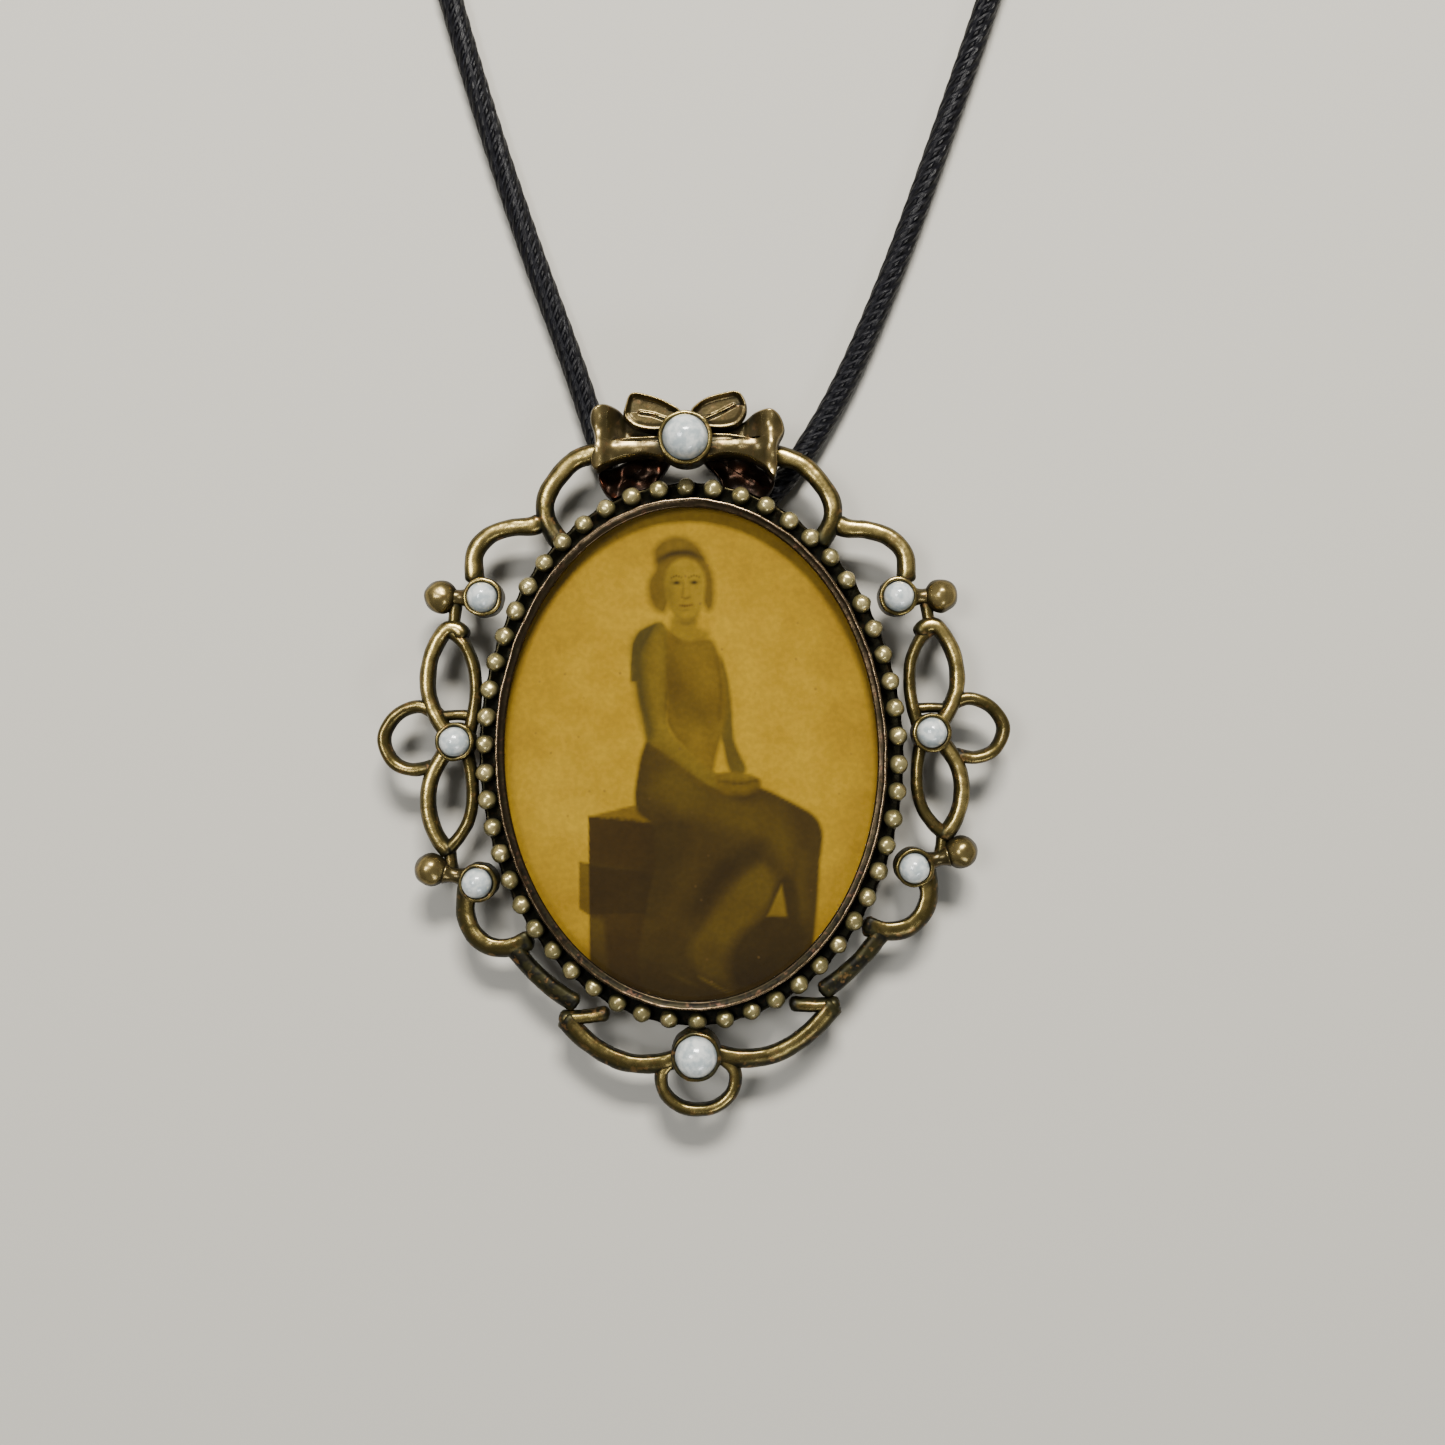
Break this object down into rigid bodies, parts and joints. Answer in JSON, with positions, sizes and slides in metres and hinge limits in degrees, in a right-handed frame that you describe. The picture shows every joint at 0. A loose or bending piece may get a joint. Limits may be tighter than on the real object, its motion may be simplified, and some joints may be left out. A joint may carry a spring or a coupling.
{
  "type": "picture locket",
  "caption": "Oval picture locket with a glazed front, beaded openwork border, pearls, bow and hinged back cover, on a black satin cord with a lobster clasp.",
  "frame": {"origin": "centre of the oval on the plane that the closed back cover lies on", "axes": "+Z out of the picture, +Y towards the bow, +X to the right as the picture is seen"},
  "size_m": [0.0564, 0.1334, 0.0088],
  "materials": {
    "antique_gold": "antiqued gilt brass, polished on the ridges, dark in the hollows",
    "case_gold": "antiqued gilt brass sheet",
    "bright_gold": "polished gilt brass",
    "steel": "drawn wire",
    "pearl": "pearl lustre",
    "glass": "clear polished glass",
    "print": "aged sepia print on paper",
    "card": "brown paper board",
    "cord": "braided black satin"
  },
  "bodies": {
    "locket": {"backing_card": "card", "bail_strap": "case_gold", "bottom_loop": "antique_gold", "bottom_pearl": "pearl", "bottom_pearl_cup": "antique_gold", "bow_pearl": "pearl", "bow_pearl_cup": "antique_gold", "case_floor": "case_gold", "case_knuckles": "case_gold", "case_wall": "case_gold", "clasp_body": "bright_gold", "clasp_link": "bright_gold", "clasp_pin": "steel", "cord": "cord", "cord_cap_clasp": "bright_gold", "cord_cap_ring": "bright_gold", "cord_coil": "cord", "cord_tail_clasp": "cord", "cord_tail_ring": "cord", "corner_knobs": "antique_gold", "end_ring": "bright_gold", "gallery_beads": "antique_gold", "gallery_ring": "antique_gold", "hinge_pin": "steel", "left_bottom_scroll": "antique_gold", "left_bow_loop": "antique_gold", "left_bow_petal": "antique_gold", "left_bow_tail": "antique_gold", "left_hip_scroll": "antique_gold", "left_lower_arc": "antique_gold", "left_lower_leaf": "antique_gold", "left_shoulder_arc": "antique_gold", "left_shoulder_scroll": "antique_gold", "left_side_loop": "antique_gold", "left_upper_leaf": "antique_gold", "photo_print": "print", "picture_glass": "glass", "right_bottom_scroll": "antique_gold", "right_bow_loop": "antique_gold", "right_bow_petal": "antique_gold", "right_bow_tail": "antique_gold", "right_hip_scroll": "antique_gold", "right_lower_arc": "antique_gold", "right_lower_leaf": "antique_gold", "right_shoulder_arc": "antique_gold", "right_shoulder_scroll": "antique_gold", "right_side_loop": "antique_gold", "right_upper_leaf": "antique_gold", "small_pearl_cups": "antique_gold", "small_pearls": "pearl", "snap_rim": "case_gold"},
    "cover": {"back_cover": "case_gold", "cover_knuckle": "case_gold", "thumb_lip": "case_gold"},
    "lever": {"clasp_lever": "bright_gold"}
  },
  "joints": [
    {"name": "back_cover_hinge", "type": "hinge", "parent": "locket", "child": "cover", "pos_m": [-0.0157, 0, 0.00195], "axis": [0, 1, 0], "range_deg": [0, 110]},
    {"name": "clasp_lever_pivot", "type": "hinge", "parent": "locket", "child": "lever", "pos_m": [-0.0103, 0.08849, 0.00135], "axis": [0, 0, -1], "range_deg": [0, 25], "stiffness_Nm_per_rad": 0.002}
  ]
}
